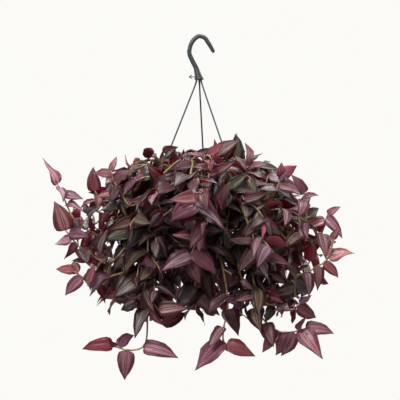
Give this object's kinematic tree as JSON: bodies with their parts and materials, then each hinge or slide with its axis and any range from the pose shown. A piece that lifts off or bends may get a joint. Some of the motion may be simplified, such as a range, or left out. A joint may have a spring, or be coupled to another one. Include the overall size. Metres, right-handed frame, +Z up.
{
  "type": "potted tradescantia",
  "caption": "Trailing tradescantia with striped wine-purple leaves on drooping stems, growing in a round plastic hanging pot carried by thin strands under a hook.",
  "frame": {"origin": "highest point inside the hook's crook, where a rail carries the plant, straight above the middle of the pot", "axes": "+Z up; -Y towards the viewer of the picture, +X to that viewer's right; the crook opens downwards on the +X side"},
  "size_m": [0.534, 0.4941, 0.5875],
  "materials": {
    "foliage": "satin leaf, wine purple with silvery stripes",
    "soil": "rough moist potting soil",
    "pot_plastic": "satin moulded plastic",
    "hanger_plastic": "satin moulded plastic"
  },
  "bodies": {
    "root": {"pot": "pot_plastic", "soil": "soil", "hanger_hook": "hanger_plastic", "strand_right": "hanger_plastic", "strand_back": "hanger_plastic", "strand_left": "hanger_plastic", "shoot_01": "foliage", "shoot_02": "foliage", "shoot_03": "foliage", "shoot_04": "foliage", "shoot_05": "foliage", "shoot_06": "foliage", "shoot_07": "foliage", "shoot_08": "foliage", "shoot_09": "foliage", "shoot_10": "foliage", "shoot_11": "foliage", "shoot_12": "foliage", "shoot_13": "foliage", "shoot_14": "foliage", "shoot_15": "foliage", "shoot_16": "foliage", "shoot_17": "foliage", "shoot_18": "foliage", "shoot_19": "foliage", "shoot_20": "foliage", "shoot_21": "foliage", "shoot_22": "foliage", "shoot_23": "foliage", "shoot_24": "foliage", "shoot_25": "foliage", "shoot_26": "foliage", "shoot_27": "foliage", "shoot_28": "foliage", "shoot_29": "foliage", "shoot_30": "foliage", "shoot_31": "foliage", "shoot_32": "foliage", "shoot_33": "foliage", "shoot_34": "foliage", "shoot_35": "foliage", "shoot_36": "foliage", "shoot_37": "foliage", "shoot_38": "foliage", "shoot_39": "foliage", "shoot_40": "foliage", "shoot_41": "foliage", "shoot_42": "foliage", "shoot_43": "foliage", "shoot_44": "foliage", "shoot_45": "foliage", "shoot_46": "foliage", "shoot_47": "foliage", "shoot_48": "foliage", "shoot_49": "foliage", "shoot_50": "foliage", "shoot_51": "foliage", "shoot_52": "foliage"}
  },
  "joints": []
}
